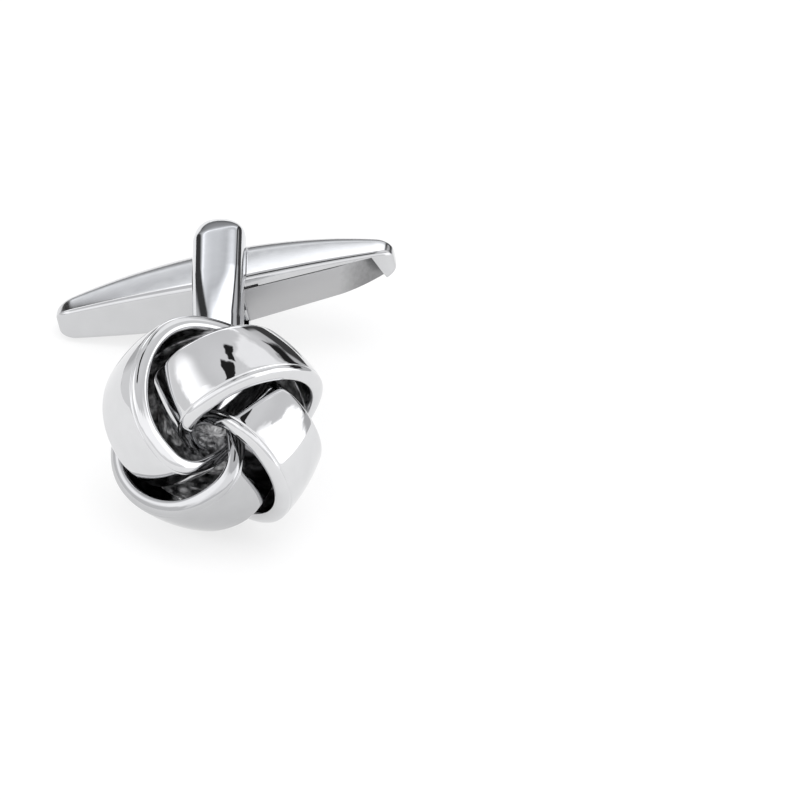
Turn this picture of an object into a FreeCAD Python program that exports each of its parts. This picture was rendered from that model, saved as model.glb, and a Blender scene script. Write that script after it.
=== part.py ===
import FreeCAD, Part
import math
import os
import Sketcher
from FreeCAD import Vector, Rotation, Placement

# Knot cufflink: four interlaced ribbons on a dome and a back plate, a forked
# post and a swivelling toggle bar.  Millimetres, +Z up, lying on a table.

doc = FreeCAD.newDocument("knot_cufflink")
dims = doc.addObject("Spreadsheet::Sheet", "Dims")
row = [0]


def put(alias, value):
    row[0] += 1
    cell = "B%d" % row[0]
    dims.set(cell, repr(value))
    dims.setAlias(cell, alias)


# how the cufflink lies on the table
put("rest_pitch", 8.0613)
put("rest_roll", -14.925)
put("rest_x", -0.4037)
put("rest_y", -8.335)
put("rest_z", 5.7007)
# head
put("head_lean", 8.2)
put("pivot_reach", 17.35)
put("plate_radius", 4.55)
put("plate_rear", 3.2)
put("plate_thick", 0.9)
put("plate_edge", 0.15)
put("well_radius", 1.9)
put("well_half", 1.25)
put("well_mid", 0.605)
put("well_deep", 0.35)
put("core_radius", 3.3)
put("core_top", 2.4)
put("tray_radius", 5.0)
put("tray_low", 1.8)
put("tray_top", 0.3)
# ribbons
put("band_thick", 0.85)
put("band_rim", -1.75)
put("band_far", 2.1)
put("band_crown", 0.24)
put("band_slant", 0.18)
put("band_round", 0.18)
put("band_end", 3.05)
# forked post
put("arm_inner", 1.6)
put("arm_outer", 2.67)
put("post_half_root", 1.5)
put("post_half_tip", 1.58)
put("post_tip", 4.95)
put("post_tip_side", -0.3)
put("crotch", 10.4)
put("post_round", 0.8)
put("pin_seat", 2.15)
# pin and cam
put("pin_radius", 0.65)
put("pin_half", 2.1)
put("seat_radius", 0.66)
put("swivel_radius", 0.69)
put("cam_flat", 2.16)
put("cam_radius", 1.2)
put("cam_half", 0.75)
# toggle bar
put("bar_front", 2.6)
put("bar_slope", 0.124)
put("hub_radius", 1.5)
put("hub_half", 0.8)
put("hub_open", 1.35)
put("channel_half", 0.68)
put("channel_floor", 0.85)
put("channel_step", 6.4)
put("channel_end", 8.7)
put("seat_floor", 2.25)
put("seat_bend", 6.6)
put("seat_dip", 20.0)
put("seat_near", 0.8)
put("seat_low_near", 1.44)
put("seat_low_bend", 1.16)
put("seat_low_end", 0.98)
# leaf spring
put("leaf_thick", 0.25)
put("leaf_half", 0.6)
put("leaf_far", 8.55)
put("leaf_edge", 0.9)
put("leaf_gap", 0.03)
put("leaf_near", 1.1)
put("leaf_tongue", 1.22)
put("leaf_knee_in", 1.9)
put("leaf_knee_out", 2.6)

# toggle sections: place along the bar, half height, depth and how far the front is rounded back
HALF_BAR = [(0.0, 1.51, 5.60, 0.0), (3.6, 1.39, 5.02, 0.446), (6.6, 1.19, 3.92, 0.818), (8.6, 1.01, 2.86, 1.066),
            (9.5, 0.89, 2.22, 1.18), (9.85, 0.75, 1.72, 1.30), (10.0, 0.50, 1.02, 1.50)]
BAR_SIDE = -0.2
SECTIONS = [(BAR_SIDE - q[0],) + q[1:] for q in HALF_BAR[:0:-1]] + [(BAR_SIDE + q[0],) + q[1:] for q in HALF_BAR]
for k, (px, hb, dp, fr) in enumerate(SECTIONS):
    put("bar_place_%d_pos" % k, px)
    put("bar_half_%d_pos" % k, hb)
    put("bar_back_%d_pos" % k, dp)
    put("bar_inset_%d_pos" % k, fr)

# ribbon stations: turn about the ribbon's axis, radius at the rim, radius at the far edge
STATIONS = [(-34, 2.65, 2.75), (-24, 3.25, 3.35), (-14, 3.97, 3.95), (-5, 4.66, 4.55), (3, 5.13, 4.92),
            (10, 5.39, 5.18), (18, 5.58, 5.45), (28, 5.83, 5.63), (40, 6.08, 5.76), (52, 6.22, 5.80),
            (64, 6.31, 5.73), (76, 6.33, 5.59), (88, 6.30, 5.42), (98, 6.18, 5.23), (108, 5.95, 5.02),
            (118, 5.64, 4.80), (130, 5.30, 4.60), (142, 5.06, 4.46)]
for k, (turn, rim, far) in enumerate(STATIONS):
    put("band_turn_%d_st" % k, float(turn))
    put("band_rim_%d_st" % k, rim)
    put("band_far_%d_st" % k, far)
doc.recompute()


def num(alias):
    return float(getattr(dims, alias))


def new_body(label):
    body = doc.addObject("PartDesign::Body", label)
    body.Label = label
    return body


def plane(body, role):
    for f in body.Origin.OriginFeatures:
        if f.Role == role:
            return f
    raise RuntimeError("no plane " + role)


def new_sketch(body, role, name, offset=None):
    sk = body.newObject("Sketcher::SketchObject", name)
    sk.AttachmentSupport = [(plane(body, role), "")]
    sk.MapMode = "FlatFace"
    if offset:
        sk.setExpression("AttachmentOffset.Base.z", offset)
    doc.recompute()
    return sk


def value(formula):
    """Number that a formula of named dimensions stands for, worked out in a spare cell."""
    dims.set("D1", "=" + formula.replace("Dims.", ""))
    dims.recompute()
    q = dims.get("D1")
    return float(q.Value if hasattr(q, "Value") else q)


def fix(sk, geo, end, ex, ey):
    """Hold a vertex at two formulas; None keeps it on the axis."""
    for axis, expr in (("DistanceX", ex), ("DistanceY", ey)):
        if expr is None:
            sk.addConstraint(Sketcher.Constraint("PointOnObject", geo, end, -2 if axis == "DistanceX" else -1))
        else:
            c = sk.addConstraint(Sketcher.Constraint(axis, -1, 1, geo, end, value(expr)))
            sk.setExpression("Constraints[%d]" % c, expr)


def polygon(sk, pts):
    """Closed outline of straight lines through vertices given as formulas."""
    xy = [(0.0 if a is None else value(a), 0.0 if b is None else value(b)) for a, b in pts]
    n = len(pts)
    ids = []
    for i in range(n):
        p, q = xy[i], xy[(i + 1) % n]
        ids.append(sk.addGeometry(Part.LineSegment(Vector(p[0], p[1], 0), Vector(q[0], q[1], 0)), False))
    for i in range(n):
        sk.addConstraint(Sketcher.Constraint("Coincident", ids[i], 2, ids[(i + 1) % n], 1))
    for i in range(n):
        fix(sk, ids[i], 1, pts[i][0], pts[i][1])
    return ids


def circle(sk, radius, cx=None, cy=None):
    x = 0.0 if cx is None else value(cx)
    y = 0.0 if cy is None else value(cy)
    g = sk.addGeometry(Part.Circle(Vector(x, y, 0), Vector(0, 0, 1), value(radius)), False)
    fix(sk, g, 3, cx, cy)
    c = sk.addConstraint(Sketcher.Constraint("Radius", g, value(radius)))
    sk.setExpression("Constraints[%d]" % c, radius)
    return g


def pad(body, sk, name, length, both=False, reverse=False):
    f = body.newObject("PartDesign::Pad", name)
    f.Profile = sk
    f.SideType = "Symmetric" if both else "One side"
    f.Reversed = reverse
    f.setExpression("Length", length)
    doc.recompute()
    return f


def pocket(body, sk, name, length, both=True, reverse=False):
    before = body.Shape.Volume
    f = body.newObject("PartDesign::Pocket", name)
    f.Profile = sk
    f.SideType = "Symmetric" if both else "One side"
    f.Reversed = reverse
    f.setExpression("Length", length)
    doc.recompute()
    if not body.Shape.Volume < before - 1e-6:
        raise RuntimeError(name + " removed nothing")
    return f


def fillet(body, name, base, edges, radius):
    f = body.newObject("PartDesign::Fillet", name)
    f.Base = (base, edges)
    f.setExpression("Radius", radius)
    doc.recompute()
    return f


# ---- back plate: the disc that bears on the cuff (head frame, face along +Z)
back_plate = new_body("back_plate")
sk = new_sketch(back_plate, "XY_Plane", "plate_outline", "-Dims.plate_rear")
circle(sk, "Dims.plate_radius")
plate_pad = pad(back_plate, sk, "plate_disc", "Dims.plate_thick")
rear = ["Edge%d" % (i + 1) for i, e in enumerate(plate_pad.Shape.Edges)
        if e.BoundBox.ZMax < -num("plate_rear") + 0.01 and e.Length > 10]
fillet(back_plate, "plate_edge_round", plate_pad, rear, "Dims.plate_edge")
# shallow oblong well in the rear face, where the foot of the post is soldered in
sk = new_sketch(back_plate, "XY_Plane", "foot_well", "-Dims.plate_rear")
wr, wu, wd = num("well_radius"), num("well_mid") + num("well_half"), num("well_mid") - num("well_half")
wl = sk.addGeometry(Part.LineSegment(Vector(-wr, wu, 0), Vector(-wr, wd, 0)), False)
wb = sk.addGeometry(Part.ArcOfCircle(Part.Circle(Vector(0, wd, 0), Vector(0, 0, 1), wr), math.pi, 2 * math.pi), False)
wg = sk.addGeometry(Part.LineSegment(Vector(wr, wd, 0), Vector(wr, wu, 0)), False)
wt = sk.addGeometry(Part.ArcOfCircle(Part.Circle(Vector(0, wu, 0), Vector(0, 0, 1), wr), 0, math.pi), False)
sk.addConstraint(Sketcher.Constraint("Coincident", wl, 2, wb, 1))
sk.addConstraint(Sketcher.Constraint("Coincident", wb, 2, wg, 1))
sk.addConstraint(Sketcher.Constraint("Coincident", wg, 2, wt, 1))
sk.addConstraint(Sketcher.Constraint("Coincident", wt, 2, wl, 1))
fix(sk, wl, 1, "-Dims.well_radius", "Dims.well_mid + Dims.well_half")
fix(sk, wl, 2, "-Dims.well_radius", "Dims.well_mid - Dims.well_half")
fix(sk, wb, 3, None, "Dims.well_mid - Dims.well_half")
fix(sk, wt, 3, None, "Dims.well_mid + Dims.well_half")
sk.addConstraint(Sketcher.Constraint("Horizontal", wb, 2, wb, 3))
sk.addConstraint(Sketcher.Constraint("Horizontal", wt, 1, wt, 3))
doc.recompute()
pocket(back_plate, sk, "foot_well_cut", "Dims.well_deep", both=False, reverse=True)

# ---- core: dark dome inside the knot, in a dished tray that the ribbons are bedded in
knot_core = new_body("knot_core")
sk = new_sketch(knot_core, "XZ_Plane", "core_profile")
base_w = "-(Dims.plate_rear - Dims.plate_thick)"
step_w = "Dims.core_top - Dims.core_radius"
r0, w0, w1 = num("core_radius"), value(base_w), value(step_w)
corners = [(0.0, w0), (num("plate_radius"), w0), (num("tray_radius"), -num("tray_low")), (num("tray_radius"), num("tray_top")), (r0, w1)]
edge = [sk.addGeometry(Part.LineSegment(Vector(p[0], p[1], 0), Vector(q[0], q[1], 0)), False) for p, q in zip(corners, corners[1:])]
g2 = sk.addGeometry(Part.ArcOfCircle(Part.Circle(Vector(0, w1, 0), Vector(0, 0, 1), r0), 0, math.pi / 2), False)
g3 = sk.addGeometry(Part.LineSegment(Vector(0, w1 + r0, 0), Vector(0, w0, 0)), False)
for p, q in zip(edge, edge[1:]):
    sk.addConstraint(Sketcher.Constraint("Coincident", p, 2, q, 1))
sk.addConstraint(Sketcher.Constraint("Coincident", edge[-1], 2, g2, 1))
sk.addConstraint(Sketcher.Constraint("Coincident", g2, 2, g3, 1))
sk.addConstraint(Sketcher.Constraint("Coincident", g3, 2, edge[0], 1))
fix(sk, edge[0], 1, None, base_w)
fix(sk, edge[0], 2, "Dims.plate_radius", base_w)
fix(sk, edge[1], 2, "Dims.tray_radius", "-Dims.tray_low")
fix(sk, edge[2], 2, "Dims.tray_radius", "Dims.tray_top")
fix(sk, edge[3], 2, "Dims.core_radius", step_w)
fix(sk, g2, 3, None, step_w)
sk.addConstraint(Sketcher.Constraint("PointOnObject", g2, 2, -2))
doc.recompute()
rev = knot_core.newObject("PartDesign::Revolution", "core_dome")
rev.Profile = sk
rev.ReferenceAxis = (sk, ["V_Axis"])
rev.Angle = 360.0
doc.recompute()

# ---- ribbons: flat strips wound on a slanted axis, each passing over the next one's start
AX = Vector(-0.35296, 0.66826, -0.65487)
E1 = Vector(-0.30585, 0.57906, 0.75574)
E2 = Vector(0.88424, 0.46703, 0.0)


def ribbon():
    tau, rim, far = num("band_thick"), num("band_rim"), num("band_far")
    crown, slant, rnd = num("band_crown"), num("band_slant"), num("band_round")
    turn = [math.radians(num("band_turn_%d_st" % k)) for k in range(len(STATIONS))]

    def line(name):
        r = [num(name % k) for k in range(len(STATIONS))]
        p = [Vector(a * math.cos(t), a * math.sin(t), 0) for a, t in zip(r, turn)]
        c = Part.BSplineCurve()
        c.interpolate(p)
        lean = []
        for q in p:
            d = c.tangent(c.parameter(q))[0]
            lean.append(abs(d.cross(q).z) / (d.Length * q.Length))
        return r, lean

    # each section lies in a plane through the ribbon's axis; where the strip climbs
    # steeply the section is deeper so that the strip keeps its thickness
    (ro, lo), (re, le) = line("band_rim_%d_st"), line("band_far_%d_st")
    wires = []
    for k, t in enumerate(turn):
        ray = E1 * math.cos(t) + E2 * math.sin(t)
        deep = tau / max(0.55, 0.5 * (lo[k] + le[k]))

        def spot(j, depth):
            r = ro[k] * (1 - j) + re[k] * j + crown * (1 - (2 * j - 1) ** 2) - depth * deep / tau
            a = rim + (far - rim) * j - slant * (depth / tau) * (1 - j)
            return AX * a + ray * r

        dj = rnd / (far - rim)
        m = 1 - math.sqrt(0.5)
        edges = [
            Part.Arc(spot(dj, 0), spot(0.5, 0), spot(1 - dj, 0)).toShape(),
            Part.Arc(spot(1 - dj, 0), spot(1 - dj * m, rnd * m), spot(1, rnd)).toShape(),
            Part.LineSegment(spot(1, rnd), spot(1, tau - rnd)).toShape(),
            Part.Arc(spot(1, tau - rnd), spot(1 - dj * m, tau - rnd * m), spot(1 - dj, tau)).toShape(),
            Part.Arc(spot(1 - dj, tau), spot(0.5, tau), spot(dj, tau)).toShape(),
            Part.Arc(spot(dj, tau), spot(dj * m, tau - rnd * m), spot(0, tau - rnd)).toShape(),
            Part.LineSegment(spot(0, tau - rnd), spot(0, rnd)).toShape(),
            Part.Arc(spot(0, rnd), spot(dj * m, rnd * m), spot(dj, 0)).toShape(),
        ]
        wires.append(Part.Wire(edges))
    return Part.makeLoft(wires, True, False)


strip = ribbon()
# the strip is seated on the dome and on the plate's rim, and ends flush behind
behind = Part.makeBox(30, 30, 20, Vector(-15, -15, -num("band_end") - 20))
strip = strip.cut(back_plate.Shape).cut(knot_core.Shape).cut(behind)
strip = max(strip.Solids, key=lambda q: q.Volume)
bands = []
for k, label in enumerate(["knot_band_upper", "knot_band_right", "knot_band_lower", "knot_band_left"]):
    f = doc.addObject("Part::Feature", label)
    f.Label = label
    f.Shape = strip.copy()
    bands.append(f)

# ---- forked post (frame of the pivot: +Y away from the head, +Z along the pin)
post_yoke = new_body("post_yoke")
sk = new_sketch(post_yoke, "XY_Plane", "post_plan")
ht, hr, tip, ts = num("post_half_tip"), num("post_half_root"), num("post_tip"), num("post_tip_side")
root = "-(Dims.pivot_reach - Dims.plate_rear + 1.5)"
yr = value(root)
gl = sk.addGeometry(Part.LineSegment(Vector(ts - ht, tip - ht, 0), Vector(-hr, yr, 0)), False)
gb = sk.addGeometry(Part.LineSegment(Vector(-hr, yr, 0), Vector(hr, yr, 0)), False)
gr = sk.addGeometry(Part.LineSegment(Vector(hr, yr, 0), Vector(ts + ht, tip - ht, 0)), False)
ga = sk.addGeometry(Part.ArcOfCircle(Part.Circle(Vector(ts, tip - ht, 0), Vector(0, 0, 1), ht), 0, math.pi), False)
sk.addConstraint(Sketcher.Constraint("Coincident", gl, 2, gb, 1))
sk.addConstraint(Sketcher.Constraint("Coincident", gb, 2, gr, 1))
sk.addConstraint(Sketcher.Constraint("Coincident", gr, 2, ga, 1))
sk.addConstraint(Sketcher.Constraint("Coincident", ga, 2, gl, 1))
fix(sk, gb, 1, "-Dims.post_half_root", root)
fix(sk, gb, 2, "Dims.post_half_root", root)
fix(sk, ga, 3, "Dims.post_tip_side", "Dims.post_tip - Dims.post_half_tip")
fix(sk, ga, 1, "Dims.post_tip_side + Dims.post_half_tip", "Dims.post_tip - Dims.post_half_tip")
sk.addConstraint(Sketcher.Constraint("Horizontal", ga, 1, ga, 2))
doc.recompute()
pad(post_yoke, sk, "post_block", "2 * Dims.arm_outer", both=True)
# gap between the arms
sk = new_sketch(post_yoke, "YZ_Plane", "fork_gap")
polygon(sk, [("-Dims.crotch", "-Dims.arm_inner"), ("Dims.post_tip + 1", "-Dims.arm_inner"),
             ("Dims.post_tip + 1", "Dims.arm_inner"), ("-Dims.crotch", "Dims.arm_inner")])
pocket(post_yoke, sk, "fork_slot", "4 * Dims.post_half_root")
# foot of the post, cut to the lean of the plate
foot_u = "(Dims.plate_rear - Dims.well_deep + 4 * sin(Dims.head_lean * 1 deg)) / cos(Dims.head_lean * 1 deg) - Dims.pivot_reach"
foot_d = "(Dims.plate_rear - Dims.well_deep - 4 * sin(Dims.head_lean * 1 deg)) / cos(Dims.head_lean * 1 deg) - Dims.pivot_reach"
sk = new_sketch(post_yoke, "YZ_Plane", "foot_cut")
polygon(sk, [(foot_d, "-4"), (foot_u, "4"), ("-Dims.pivot_reach - 2", "4"), ("-Dims.pivot_reach - 2", "-4")])
foot = pocket(post_yoke, sk, "foot_face", "4 * Dims.post_half_root")
ho = num("arm_outer")
outer = []
for i, e in enumerate(foot.Shape.Edges):
    b = e.BoundBox
    if min(abs(b.ZMin - ho), abs(b.ZMin + ho)) < 0.01 and abs(b.ZMax - b.ZMin) < 0.01 and b.YLength > 0.5:
        outer.append("Edge%d" % (i + 1))
rounded = fillet(post_yoke, "post_outer_round", foot, outer, "Dims.post_round")
# blind seats for the pin, from the inside of each arm
sk = new_sketch(post_yoke, "XY_Plane", "pin_seats")
circle(sk, "Dims.seat_radius")
pocket(post_yoke, sk, "pin_seat_cut", "2 * Dims.pin_seat")

# ---- toggle bar: boat shape with a flat front and a round back
toggle_bar = new_body("toggle_bar")
profiles = []
for k in range(len(SECTIONS)):
    sk = new_sketch(toggle_bar, "YZ_Plane", "bar_section_%d" % k, "Dims.bar_place_%d_pos" % k)
    yf, b, dp = -num("bar_front") + num("bar_inset_%d_pos" % k), num("bar_half_%d_pos" % k), num("bar_back_%d_pos" % k)
    front = "(-Dims.bar_front + Dims.bar_inset_%d_pos)" % k
    yc = yf + dp - b
    gf = sk.addGeometry(Part.LineSegment(Vector(yf, b, 0), Vector(yf, -b, 0)), False)
    gd = sk.addGeometry(Part.LineSegment(Vector(yf, -b, 0), Vector(yc, -b, 0)), False)
    gk = sk.addGeometry(Part.ArcOfCircle(Part.Circle(Vector(yc, 0, 0), Vector(0, 0, 1), b), -math.pi / 2, math.pi / 2), False)
    gt = sk.addGeometry(Part.LineSegment(Vector(yc, b, 0), Vector(yf, b, 0)), False)
    sk.addConstraint(Sketcher.Constraint("Coincident", gf, 2, gd, 1))
    sk.addConstraint(Sketcher.Constraint("Coincident", gd, 2, gk, 1))
    sk.addConstraint(Sketcher.Constraint("Coincident", gk, 2, gt, 1))
    sk.addConstraint(Sketcher.Constraint("Coincident", gt, 2, gf, 1))
    fix(sk, gf, 1, front, "Dims.bar_half_%d_pos" % k)
    fix(sk, gf, 2, front, "-Dims.bar_half_%d_pos" % k)
    fix(sk, gk, 3, front + " + Dims.bar_back_%d_pos - Dims.bar_half_%d_pos" % (k, k), None)
    sk.addConstraint(Sketcher.Constraint("Horizontal", gd))
    sk.addConstraint(Sketcher.Constraint("Vertical", gk, 1, gk, 3))
    sk.addConstraint(Sketcher.Constraint("Vertical", gk, 2, gk, 3))
    doc.recompute()
    profiles.append(sk)
loft = toggle_bar.newObject("PartDesign::AdditiveLoft", "bar_hull")
loft.Profile = profiles[0]
loft.Sections = profiles[1:]
loft.Ruled = False
loft.Closed = False
doc.recompute()
# hub: round room for the cam, open to the front beside the post
sk = new_sketch(toggle_bar, "XY_Plane", "hub_room")
circle(sk, "Dims.hub_radius")
pocket(toggle_bar, sk, "hub_room_cut", "2 * Dims.hub_half")
sk = new_sketch(toggle_bar, "XY_Plane", "hub_mouth")
polygon(sk, [("-Dims.hub_open", "-Dims.bar_front - 1"), ("Dims.hub_open + 0.6", "-Dims.bar_front - 1"),
             ("Dims.hub_open + 0.6", "-Dims.channel_floor"), ("-Dims.hub_open", "-Dims.channel_floor")])
pocket(toggle_bar, sk, "hub_mouth_cut", "2 * Dims.hub_half")
# channel behind the spring, for it to give into
sk = new_sketch(toggle_bar, "XY_Plane", "channel_deep")
polygon(sk, [("1", "-Dims.bar_front - 1"), ("Dims.channel_step", "-Dims.bar_front - 1"),
             ("Dims.channel_step", "-Dims.channel_floor + Dims.bar_slope * Dims.channel_step"), ("1", "-Dims.channel_floor")])
pocket(toggle_bar, sk, "channel_deep_cut", "2 * Dims.channel_half")
# seat for the spring's plate: two flats that follow the front, open along the lower edge, the second one dipping inwards
def seat_plane(k):
    """Slope in degrees and height at mid-bar of flat k of the seat."""
    a = math.degrees(math.atan(num("bar_slope")))
    if k == 0:
        return a, -num("seat_floor")
    knee = -num("seat_floor") + num("bar_slope") * num("seat_bend")
    a += num("seat_dip")
    return a, knee - math.tan(math.radians(a)) * num("seat_bend")


def seat_sketch(body, k, name, x0, x1, low0, low1, top):
    """Outline on flat k, from x0 to x1 along the bar, between two lower heights and a level top."""
    a, y0 = seat_plane(k)
    sk = new_sketch(body, "XZ_Plane", name)
    sk.AttachmentOffset = Placement(Vector(0, 0, -y0), Rotation(Vector(0, 1, 0), a))
    doc.recompute()
    c = " / cos(%r deg)" % a
    polygon(sk, [("(%s)" % x0 + c, "-(%s)" % low0), ("(%s)" % x1 + c, "-(%s)" % low1), ("(%s)" % x1 + c, top), ("(%s)" % x0 + c, top)])
    return sk


sk = seat_sketch(toggle_bar, 0, "seat_flat", "Dims.seat_near", "Dims.seat_bend + 0.1", "Dims.seat_low_near + 0.5", "Dims.seat_low_bend + 0.5", "Dims.channel_half")
pocket(toggle_bar, sk, "seat_flat_cut", "1.4", both=False, reverse=True)
sk = seat_sketch(toggle_bar, 1, "seat_dip_flat", "Dims.seat_bend", "Dims.channel_end", "Dims.seat_low_bend + 0.5", "Dims.seat_low_end + 0.5", "Dims.channel_half")
pocket(toggle_bar, sk, "seat_dip_cut", "2.4", both=False, reverse=True)
# running hole for the pin through both cheeks
sk = new_sketch(toggle_bar, "XY_Plane", "swivel_hole")
circle(sk, "Dims.swivel_radius")
pocket(toggle_bar, sk, "swivel_hole_cut", "4 * Dims.hub_half")

# ---- pivot pin
pivot_pin = new_body("pivot_pin")
sk = new_sketch(pivot_pin, "XY_Plane", "pin_outline")
circle(sk, "Dims.pin_radius")
pad(pivot_pin, sk, "pin_shank", "2 * Dims.pin_half", both=True)

# ---- detent cam: four small flats on a round boss, fixed on the pin
cam_block = doc.addObject("Part::Box", "cam_block")
for prop in ("Length", "Width"):
    cam_block.setExpression(prop, "Dims.cam_flat")
cam_block.setExpression("Height", "2 * Dims.cam_half")
for ax in ("x", "y"):
    cam_block.setExpression("Placement.Base." + ax, "-Dims.cam_flat / 2")
cam_block.setExpression("Placement.Base.z", "-Dims.cam_half")
cam_round = doc.addObject("Part::Cylinder", "cam_round")
cam_round.setExpression("Radius", "Dims.cam_radius")
cam_bore = doc.addObject("Part::Cylinder", "cam_bore")
cam_bore.setExpression("Radius", "Dims.seat_radius")
for cyl in (cam_round, cam_bore):
    cyl.setExpression("Height", "2 * Dims.cam_half")
    cyl.setExpression("Placement.Base.z", "-Dims.cam_half")
cam_boss = doc.addObject("Part::Common", "cam_boss")
cam_boss.Base = cam_block
cam_boss.Tool = cam_round
detent_cam = doc.addObject("Part::Cut", "detent_cam")
detent_cam.Label = "detent_cam"
detent_cam.Base = cam_boss
detent_cam.Tool = cam_bore
doc.recompute()

# ---- leaf spring: flat plate in its seat, dipping at the far end, joggled down to a tongue in front of the cam
leaf_spring = new_body("leaf_spring")
sk = new_sketch(leaf_spring, "XY_Plane", "leaf_profile")
t_in, t_out = "-Dims.leaf_tongue", "-(Dims.leaf_tongue + Dims.leaf_thick)"
p_in = "-Dims.seat_floor + Dims.bar_slope * "
p_out = "-(Dims.seat_floor + Dims.leaf_thick) + Dims.bar_slope * "
polygon(sk, [("-Dims.leaf_near", t_out), ("Dims.leaf_knee_in", t_out),
             ("Dims.leaf_knee_out", p_out + "Dims.leaf_knee_out"), ("Dims.leaf_knee_out + 1", p_out + "(Dims.leaf_knee_out + 1)"),
             ("Dims.leaf_knee_out + 1", p_in + "(Dims.leaf_knee_out + 1)"), ("Dims.leaf_knee_out + 0.1", p_in + "(Dims.leaf_knee_out + 0.1)"),
             ("Dims.leaf_knee_in + 0.1", t_in), ("-Dims.leaf_near", t_in)])
pad(leaf_spring, sk, "leaf_tongue_strip", "2 * Dims.leaf_half", both=True)
sk = seat_sketch(leaf_spring, 0, "leaf_plate_outline", "Dims.leaf_edge", "Dims.seat_bend", "Dims.seat_low_near - Dims.leaf_gap", "Dims.seat_low_bend - Dims.leaf_gap", "Dims.leaf_half")
pad(leaf_spring, sk, "leaf_plate", "Dims.leaf_thick")
sk = seat_sketch(leaf_spring, 1, "leaf_end_outline", "Dims.seat_bend - 0.02", "Dims.leaf_far", "Dims.seat_low_bend - Dims.leaf_gap", "Dims.seat_low_end - Dims.leaf_gap", "Dims.leaf_half")
pad(leaf_spring, sk, "leaf_end", "Dims.leaf_thick")
doc.recompute()

# ---- lay the cufflink on the table
rest = Placement(Vector(num("rest_x"), num("rest_y"), num("rest_z")),
                 Rotation(Vector(0, 1, 0), num("rest_roll")) * Rotation(Vector(1, 0, 0), -num("rest_pitch")))
lean = math.radians(num("head_lean"))
head_axes = Rotation(Vector(1, 0, 0), Vector(0, math.sin(lean), math.cos(lean)),
                     Vector(0, -math.cos(lean), math.sin(lean)), "ZXY")
head = rest.multiply(Placement(Vector(0, 0, 0), head_axes))
pivot = rest.multiply(Placement(Vector(0, num("pivot_reach"), 0), Rotation()))
sub_parts = bands + [knot_core, back_plate, post_yoke, toggle_bar, pivot_pin, detent_cam, leaf_spring]
for k, obj in enumerate(bands):
    obj.Placement = head.multiply(Placement(Vector(0, 0, 0), Rotation(Vector(0, 0, 1), -90.0 * k)))
for obj in (knot_core, back_plate):
    obj.Placement = head
for obj in [post_yoke, toggle_bar, pivot_pin, detent_cam, leaf_spring]:
    obj.Placement = pivot
doc.recompute()

# ---- every object must be sound before anything is written
for obj in doc.Objects:
    bad = [q for q in obj.State if q in ("Invalid", "Error")]
    if bad:
        raise RuntimeError("%s is %s" % (obj.Label, bad))
os.makedirs("parts", exist_ok=True)
for obj in sub_parts:
    if obj.Shape.isNull() or not obj.Shape.isValid() or len(obj.Shape.Solids) != 1:
        raise RuntimeError("%s has a bad shape" % obj.Label)
for obj in sub_parts:
    obj.Shape.exportStep("parts/%s.step" % obj.Label)
    bb = obj.Shape.BoundBox
    print("%-16s volume %8.3f  x %.2f..%.2f y %.2f..%.2f z %.2f..%.2f" % (
        obj.Label, obj.Shape.Volume, bb.XMin, bb.XMax, bb.YMin, bb.YMax, bb.ZMin, bb.ZMax))
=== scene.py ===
import bpy, bmesh, math
import numpy as np
from mathutils import Matrix, Vector


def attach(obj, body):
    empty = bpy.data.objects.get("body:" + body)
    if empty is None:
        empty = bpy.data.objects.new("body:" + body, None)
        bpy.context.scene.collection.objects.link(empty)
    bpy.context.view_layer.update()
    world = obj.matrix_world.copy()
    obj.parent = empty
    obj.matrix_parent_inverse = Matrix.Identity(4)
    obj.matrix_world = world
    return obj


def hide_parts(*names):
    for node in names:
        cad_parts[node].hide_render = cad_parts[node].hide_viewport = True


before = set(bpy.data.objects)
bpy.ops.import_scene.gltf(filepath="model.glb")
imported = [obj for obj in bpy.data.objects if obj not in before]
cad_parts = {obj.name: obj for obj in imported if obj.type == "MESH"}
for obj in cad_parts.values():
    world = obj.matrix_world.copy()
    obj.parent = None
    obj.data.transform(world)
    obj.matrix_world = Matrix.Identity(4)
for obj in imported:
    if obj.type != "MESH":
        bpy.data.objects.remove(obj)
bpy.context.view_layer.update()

MM = 0.001

# ------------------------------------------------------------------ frames
def rx(a):
    a = math.radians(a); return np.array([[1, 0, 0], [0, math.cos(a), -math.sin(a)], [0, math.sin(a), math.cos(a)]])
def ry(a):
    a = math.radians(a); return np.array([[math.cos(a), 0, math.sin(a)], [0, 1, 0], [-math.sin(a), 0, math.cos(a)]])

PITCH, ROLL, LEAN, REACH = 8.0613, -14.925, 8.2, 17.35
REST = ry(ROLL) @ rx(-PITCH)
SHIFT = np.array([-0.4037, -8.335, 5.7007])
g = math.radians(LEAN)
HEAD = np.array([[1, 0, 0], [0, math.sin(g), math.cos(g)], [0, -math.cos(g), math.sin(g)]]).T

def from_head(p):
    return ((np.asarray(p, float) @ HEAD.T) @ REST.T + SHIFT) * MM
def from_pivot(p):
    return ((np.asarray(p, float) + np.array([0, REACH, 0])) @ REST.T + SHIFT) * MM

def smooth_line(x, y):
    """natural cubic through the stations"""
    x = np.asarray(x, float); y = np.asarray(y, float); n = len(x); h = np.diff(x)
    a = np.zeros((n, n)); b = np.zeros(n); a[0, 0] = a[-1, -1] = 1
    for i in range(1, n - 1):
        a[i, i - 1] = h[i - 1]; a[i, i] = 2 * (h[i - 1] + h[i]); a[i, i + 1] = h[i]
        b[i] = 6 * ((y[i + 1] - y[i]) / h[i] - (y[i] - y[i - 1]) / h[i - 1])
    m = np.linalg.solve(a, b)
    def f(q):
        q = np.asarray(q, float); i = np.clip(np.searchsorted(x, q) - 1, 0, n - 2)
        d = x[i + 1] - x[i]; u = (x[i + 1] - q) / d; v = (q - x[i]) / d
        return u * y[i] + v * y[i + 1] + ((u ** 3 - u) * m[i] + (v ** 3 - v) * m[i + 1]) * d * d / 6
    return f

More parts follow.
